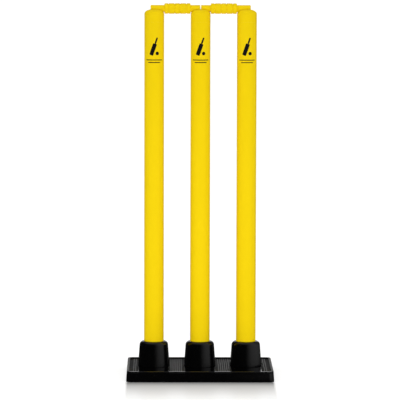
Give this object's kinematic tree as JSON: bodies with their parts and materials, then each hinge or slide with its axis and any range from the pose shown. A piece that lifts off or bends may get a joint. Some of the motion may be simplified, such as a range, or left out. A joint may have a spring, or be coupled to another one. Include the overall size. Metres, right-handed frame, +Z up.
{
  "type": "cricket stumps",
  "caption": "Free-standing wicket: round plastic stumps held upright in tapered rubber cups on a heavy ribbed tray, with turned bails lying in grooves across their tops.",
  "frame": {"origin": "on the ground, at the centre of the base, under the middle stump's axis", "axes": "+X runs along the row of stumps from left to right seen from the front, +Z up, and the front long side of the base faces -Y"},
  "size_m": [0.284, 0.2032, 0.7211],
  "materials": {
    "tray_rubber": "semi-gloss moulded rubber with a fine rib",
    "cup_rubber": "satin moulded rubber",
    "stump_plastic": "smooth semi-gloss plastic",
    "plug_plastic": "plain moulded plastic",
    "bail_plastic": "smooth moulded plastic with turned grooves"
  },
  "bodies": {
    "base": {"base_tray": "tray_rubber", "socket_cup_left": "cup_rubber", "socket_cup_middle": "cup_rubber", "socket_cup_right": "cup_rubber"},
    "stump_middle": {"stump_tube_middle": "stump_plastic", "stump_cap_middle": "stump_plastic", "stump_plug_middle": "plug_plastic"},
    "stump_left": {"stump_tube_left": "stump_plastic", "stump_cap_left": "stump_plastic", "stump_plug_left": "plug_plastic"},
    "stump_right": {"stump_tube_right": "stump_plastic", "stump_cap_right": "stump_plastic", "stump_plug_right": "plug_plastic"},
    "bail_left": {"bail_left": "bail_plastic"},
    "bail_right": {"bail_right": "bail_plastic"}
  },
  "joints": [
    {"name": "stump_middle_lift", "type": "slide", "parent": "base", "child": "stump_middle", "axis": [0, 0, 1], "range_m": [0, 0.075]},
    {"name": "stump_left_lift", "type": "slide", "parent": "stump_middle", "child": "stump_left", "axis": [0, 0, 1], "range_m": [0, 0.075]},
    {"name": "stump_right_lift", "type": "slide", "parent": "stump_middle", "child": "stump_right", "axis": [0, 0, 1], "range_m": [0, 0.075]},
    {"name": "bail_left_lift", "type": "slide", "parent": "stump_left", "child": "bail_left", "axis": [0, 0, 1], "range_m": [0, 0.05]},
    {"name": "bail_right_lift", "type": "slide", "parent": "stump_right", "child": "bail_right", "axis": [0, 0, 1], "range_m": [0, 0.05]}
  ]
}
